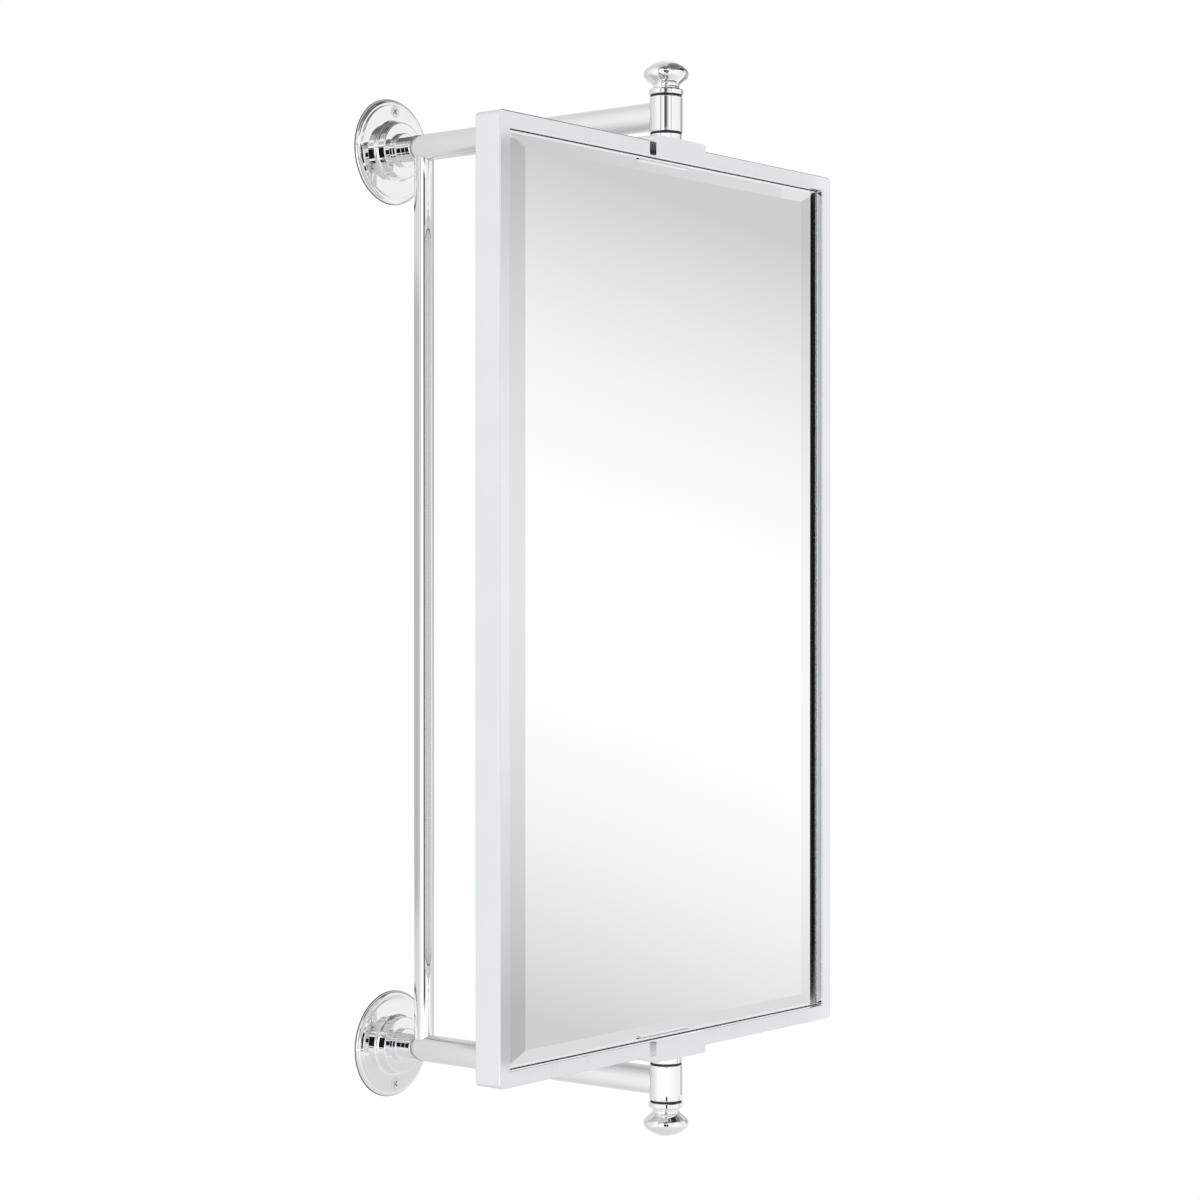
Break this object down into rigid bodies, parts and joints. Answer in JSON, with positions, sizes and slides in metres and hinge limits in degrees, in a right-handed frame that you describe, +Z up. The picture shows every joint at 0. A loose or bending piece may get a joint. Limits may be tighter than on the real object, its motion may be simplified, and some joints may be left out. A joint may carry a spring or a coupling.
{
  "type": "pivot wall mirror",
  "caption": "Bevelled wall mirror in a tube frame that turns about a vertical axis between bracket arms tied by an upright rail, with clamping finials and round wall flanges.",
  "frame": {"origin": "on the wall plane, midway between the wall flanges", "axes": "+Z up along the pivot axis; +Y into the wall, so the mirror stands out towards -Y; +X to the right of someone facing the mirror"},
  "size_m": [0.46, 0.3732, 0.91],
  "materials": {
    "polished_chrome": "polished",
    "screw_steel": "bright zinc",
    "black_nylon": "satin",
    "silvered_glass": "polished, silvered at the back",
    "black_rubber": "matt",
    "foam": "matt foam",
    "hardboard": "white coated hardboard",
    "tab_steel": "bright zinc"
  },
  "bodies": {
    "bracket": {"upper_flange": "polished_chrome", "lower_flange": "polished_chrome", "upper_wall_screws": "screw_steel", "lower_wall_screws": "screw_steel", "upper_neck": "polished_chrome", "lower_neck": "polished_chrome", "upper_arm": "polished_chrome", "lower_arm": "polished_chrome", "upright_rail": "polished_chrome", "upper_barrel": "polished_chrome", "lower_barrel": "polished_chrome", "upper_outer_bush": "black_nylon", "upper_inner_bush": "black_nylon", "lower_inner_bush": "black_nylon", "lower_outer_bush": "black_nylon"},
    "mirror": {"upper_pivot_pin": "polished_chrome", "lower_pivot_pin": "polished_chrome", "upper_clip": "polished_chrome", "lower_clip": "polished_chrome", "upper_set_screws": "screw_steel", "lower_set_screws": "screw_steel", "frame_top": "polished_chrome", "frame_bottom": "polished_chrome", "frame_left": "polished_chrome", "frame_right": "polished_chrome", "gasket_top": "black_rubber", "gasket_bottom": "black_rubber", "gasket_left": "black_rubber", "gasket_right": "black_rubber", "mirror_glass": "silvered_glass", "foam_tapes": "foam", "back_panel": "hardboard", "panel_tabs": "tab_steel", "tab_screws": "screw_steel"},
    "upper_finial": {"upper_finial": "polished_chrome"},
    "lower_finial": {"lower_finial": "polished_chrome"}
  },
  "joints": [
    {"name": "mirror_swing", "type": "hinge", "parent": "bracket", "child": "mirror", "pos_m": [0, -0.315, 0], "axis": [0, 0, 1], "continuous": true},
    {"name": "upper_finial_turn", "type": "hinge", "parent": "mirror", "child": "upper_finial", "pos_m": [0, -0.315, 0.4236], "axis": [0, 0, 1], "range_deg": [0, 360]},
    {"name": "lower_finial_turn", "type": "hinge", "parent": "mirror", "child": "lower_finial", "pos_m": [0, -0.315, -0.4236], "axis": [0, 0, -1], "range_deg": [0, 360]}
  ]
}
